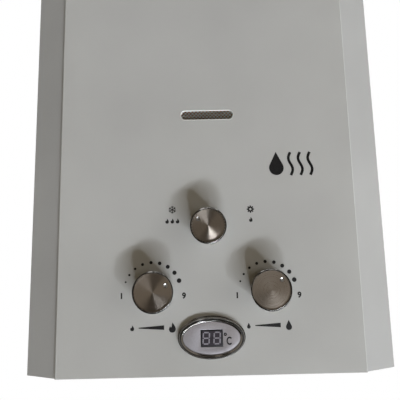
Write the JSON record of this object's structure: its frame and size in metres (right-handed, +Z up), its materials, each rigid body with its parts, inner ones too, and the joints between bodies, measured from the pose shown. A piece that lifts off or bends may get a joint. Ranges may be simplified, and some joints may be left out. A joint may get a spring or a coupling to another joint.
{
  "type": "gas water heater",
  "caption": "Wall-hung instantaneous gas water heater: bevelled sheet casing, control knobs, oval digital display, sight window, flue collar on top and pipe ends below.",
  "frame": {"origin": "on the wall plane, midway between the two hanging slots of the back panel", "axes": "+X to the right seen from the front, +Y into the wall, +Z up"},
  "size_m": [0.3486, 0.159, 0.654],
  "materials": {
    "body_paint": "powder coat, satin",
    "zinc_sheet": "zinc-coated sheet",
    "blade_steel": "pressed stainless sheet",
    "steel": "bright zinc",
    "white_plastic": "moulded, satin",
    "mesh_wire": "woven wire",
    "chrome": "chrome-plated plastic",
    "spun_disc": "spun, circular grain",
    "silver_plastic": "silver lacquer",
    "dark_display": "tinted, satin",
    "board": "solder mask",
    "brass": "machined",
    "copper": "drawn copper",
    "die_cast": "as cast",
    "rubber": "moulded",
    "red_plastic": "moulded",
    "black_plastic": "moulded",
    "ceramic": "fired, unglazed",
    "cell_jacket": "printed sleeve",
    "lead_rubber": "silicone sleeve"
  },
  "bodies": {
    "casing": {"left_side_panel": "body_paint", "right_side_panel": "body_paint", "front_fascia": "body_paint", "top_cover": "body_paint", "back_panel": "zinc_sheet", "floor_plate": "zinc_sheet", "flue_collar": "zinc_sheet", "flue_hood": "zinc_sheet", "chamber_brackets": "zinc_sheet", "burner_frame": "zinc_sheet", "gas_tube": "zinc_sheet", "burner_blades": "blade_steel", "casing_screws": "steel", "diaphragm_screws": "steel", "return_spring": "steel", "electrode_rods": "steel", "door_hinge_pin": "steel", "window_liner": "white_plastic", "window_mesh": "mesh_wire", "display_bezel": "chrome", "display_plate": "silver_plastic", "digit_module": "dark_display", "display_board": "board", "cold_inlet": "brass", "hot_outlet": "brass", "gas_inlet": "brass", "fitting_locknuts": "brass", "water_valve": "brass", "diaphragm_cover": "brass", "gas_nozzles": "brass", "temperature_probe": "brass", "combustion_chamber": "copper", "exchanger_fins": "copper", "exchanger_pipe": "copper", "gas_valve": "die_cast", "gas_manifold": "die_cast", "diaphragm": "rubber", "microswitch": "black_plastic", "overheat_thermostat": "black_plastic", "solenoid_valve": "black_plastic", "spark_controller": "black_plastic", "battery_box": "black_plastic", "electrode_insulators": "ceramic", "battery_cells": "cell_jacket", "wiring": "lead_rubber"},
    "gas_control": {"gas_knob": "chrome", "gas_knob_disc": "spun_disc", "gas_spindle": "brass"},
    "water_control": {"water_knob": "chrome", "water_knob_disc": "spun_disc", "water_spindle": "brass"},
    "season_control": {"season_knob": "chrome", "season_knob_disc": "spun_disc", "season_spindle": "brass"},
    "linkage": {"push_rod": "steel"},
    "lever": {"switch_lever": "steel"},
    "drain_ring": {"drain_seal": "rubber"},
    "drain_screw": {"drain_plug": "red_plastic"},
    "hatch": {"battery_door": "black_plastic"}
  },
  "joints": [
    {"name": "gas_knob_turn", "type": "hinge", "parent": "casing", "child": "gas_control", "pos_m": [-0.051, -0.15, -0.5245], "axis": [0, -1, 0], "range_deg": [-5, 133]},
    {"name": "water_knob_turn", "type": "hinge", "parent": "casing", "child": "water_control", "pos_m": [0.055, -0.15, -0.5245], "axis": [0, -1, 0], "range_deg": [-21, 117]},
    {"name": "season_knob_turn", "type": "hinge", "parent": "casing", "child": "season_control", "pos_m": [0, -0.15, -0.4665], "axis": [0, -1, 0], "range_deg": [-112, 0]},
    {"name": "push_rod_slide", "type": "slide", "parent": "casing", "child": "linkage", "axis": [-1, 0, 0], "range_m": [0, 0.0035], "stiffness_N_per_m": 400, "springref_m": -0.005, "deforming": ["return_spring"]},
    {"name": "switch_lever_turn", "type": "hinge", "parent": "casing", "child": "lever", "pos_m": [-0.0027, -0.072, -0.506], "axis": [0, 1, 0], "range_deg": [0, 21.3]},
    {"name": "drain_seal_slide", "type": "slide", "parent": "casing", "child": "drain_ring", "axis": [0, 0, -1], "range_m": [0, 0.0045]},
    {"name": "drain_plug_turn", "type": "hinge", "parent": "drain_ring", "child": "drain_screw", "pos_m": [0.082, -0.066, -0.572], "axis": [0, 0, -1], "range_deg": [0, 1080]},
    {"name": "battery_door_swing", "type": "hinge", "parent": "casing", "child": "hatch", "pos_m": [0.1252, -0.0819, -0.5894], "axis": [1, 0, 0], "range_deg": [0, 100]}
  ],
  "couplings": [
    {"joint": "switch_lever_turn", "follows": "push_rod_slide", "rad_per_m": 105.2},
    {"joint": "drain_plug_turn", "follows": "drain_seal_slide", "rad_per_m": 4186}
  ]
}
